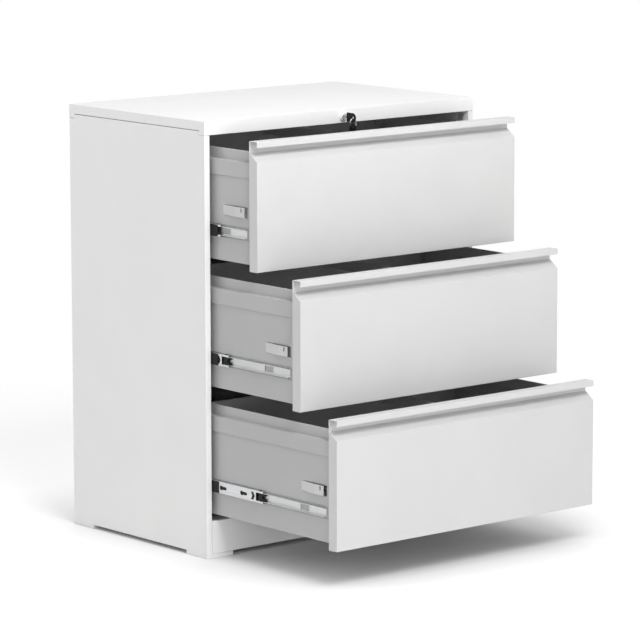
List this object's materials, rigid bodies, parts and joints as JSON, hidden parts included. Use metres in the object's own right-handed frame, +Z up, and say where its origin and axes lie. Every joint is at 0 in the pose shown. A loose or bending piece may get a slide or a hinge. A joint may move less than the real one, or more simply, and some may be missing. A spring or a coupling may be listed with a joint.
{
  "type": "lateral filing cabinet",
  "caption": "Wide white steel filing cabinet with wide stacked drawers on telescopic slides, each with a full-width handle lip, hanging-file rails and a central key lock in the top rail.",
  "frame": {"origin": "on the floor, under the middle of the box around the cabinet with its drawers standing open as stored", "axes": "+Z up, -Y the way the drawers open, +X to the right of someone who faces the drawers"},
  "size_m": [0.83, 0.962, 1.0218],
  "materials": {
    "powder_coat": "satin white powder coat with a fine texture",
    "grey_coat": "satin light grey powder coat",
    "white_plastic": "moulded white plastic",
    "zinc": "bright zinc plate with drawing lines",
    "chrome": "polished chrome",
    "black_plastic": "moulded black plastic"
  },
  "bodies": {
    "cabinet": {"top_panel": "powder_coat", "back_panel": "powder_coat", "bottom_panel": "powder_coat", "kick_plate": "powder_coat", "left_side_panel": "powder_coat", "right_side_panel": "powder_coat", "left_slide_frame": "powder_coat", "right_slide_frame": "powder_coat", "front_left_foot": "white_plastic", "front_right_foot": "white_plastic", "rear_left_foot": "white_plastic", "rear_right_foot": "white_plastic", "drawer_1_left_slide_outer": "zinc", "drawer_1_right_slide_outer": "zinc", "drawer_2_left_slide_outer": "zinc", "drawer_2_right_slide_outer": "zinc", "drawer_3_left_slide_outer": "zinc", "drawer_3_right_slide_outer": "zinc", "lock_barrel": "chrome"},
    "carriage_1": {"drawer_1_left_slide_middle": "zinc", "drawer_1_right_slide_middle": "zinc"},
    "carriage_2": {"drawer_2_left_slide_middle": "zinc", "drawer_2_right_slide_middle": "zinc"},
    "carriage_3": {"drawer_3_left_slide_middle": "zinc", "drawer_3_right_slide_middle": "zinc"},
    "drawer_1": {"drawer_1_front": "powder_coat", "drawer_1_front_liner": "grey_coat", "drawer_1_back": "grey_coat", "drawer_1_bottom": "grey_coat", "drawer_1_file_rail": "grey_coat", "drawer_1_left_side": "grey_coat", "drawer_1_right_side": "grey_coat", "drawer_1_left_slide_inner": "zinc", "drawer_1_right_slide_inner": "zinc"},
    "drawer_2": {"drawer_2_front": "powder_coat", "drawer_2_front_liner": "grey_coat", "drawer_2_back": "grey_coat", "drawer_2_bottom": "grey_coat", "drawer_2_file_rail": "grey_coat", "drawer_2_left_side": "grey_coat", "drawer_2_right_side": "grey_coat", "drawer_2_left_slide_inner": "zinc", "drawer_2_right_slide_inner": "zinc"},
    "drawer_3": {"drawer_3_front": "powder_coat", "drawer_3_front_liner": "grey_coat", "drawer_3_back": "grey_coat", "drawer_3_bottom": "grey_coat", "drawer_3_file_rail": "grey_coat", "drawer_3_left_side": "grey_coat", "drawer_3_right_side": "grey_coat", "drawer_3_left_slide_inner": "zinc", "drawer_3_right_slide_inner": "zinc"},
    "lock_plug": {"lock_plug": "chrome", "lock_cam": "zinc", "key": "black_plastic"},
    "lock_link": {"lock_link": "zinc"},
    "lock_bar": {"lock_bar": "zinc"},
    "key_ring": {"key_ring": "chrome"},
    "spare_key": {"spare_key": "black_plastic"}
  },
  "joints": [
    {"name": "carriage_1_slide", "type": "slide", "parent": "cabinet", "child": "carriage_1", "axis": [0, -1, 0], "range_m": [-0.07981, 0.14919]},
    {"name": "drawer_1_slide", "type": "slide", "parent": "carriage_1", "child": "drawer_1", "axis": [0, -1, 0], "range_m": [-0.08757, 0.12743]},
    {"name": "carriage_2_slide", "type": "slide", "parent": "cabinet", "child": "carriage_2", "axis": [0, -1, 0], "range_m": [-0.10694, 0.12206]},
    {"name": "drawer_2_slide", "type": "slide", "parent": "carriage_2", "child": "drawer_2", "axis": [0, -1, 0], "range_m": [-0.21177, 0.00323]},
    {"name": "carriage_3_slide", "type": "slide", "parent": "cabinet", "child": "carriage_3", "axis": [0, -1, 0], "range_m": [-0.229, 0]},
    {"name": "drawer_3_slide", "type": "slide", "parent": "carriage_3", "child": "drawer_3", "axis": [0, -1, 0], "range_m": [-0.215, 0]},
    {"name": "lock_turn", "type": "hinge", "parent": "cabinet", "child": "lock_plug", "pos_m": [0, -0.037, 1.0043], "axis": [0, 1, 0], "range_deg": [0, 90]},
    {"name": "lock_link_slide", "type": "slide", "parent": "cabinet", "child": "lock_link", "axis": [1, 0, 0], "range_m": [0, 0.0142]},
    {"name": "lock_bar_slide", "type": "slide", "parent": "cabinet", "child": "lock_bar", "axis": [0, 0, -1], "range_m": [0, 0.01414]},
    {"name": "key_ring_swing", "type": "hinge", "parent": "lock_plug", "child": "key_ring", "pos_m": [0, -0.075, 1.0023], "axis": [1, 0, 0], "range_deg": [-60, 12]},
    {"name": "spare_key_swing", "type": "hinge", "parent": "key_ring", "child": "spare_key", "pos_m": [0, -0.075, 0.9843], "axis": [1, 0, 0], "range_deg": [-45, 20]}
  ],
  "couplings": [
    {"joint": "lock_turn", "follows": "lock_bar_slide", "rad_per_m": 111.07},
    {"joint": "lock_link_slide", "follows": "lock_bar_slide", "ratio": 1}
  ]
}
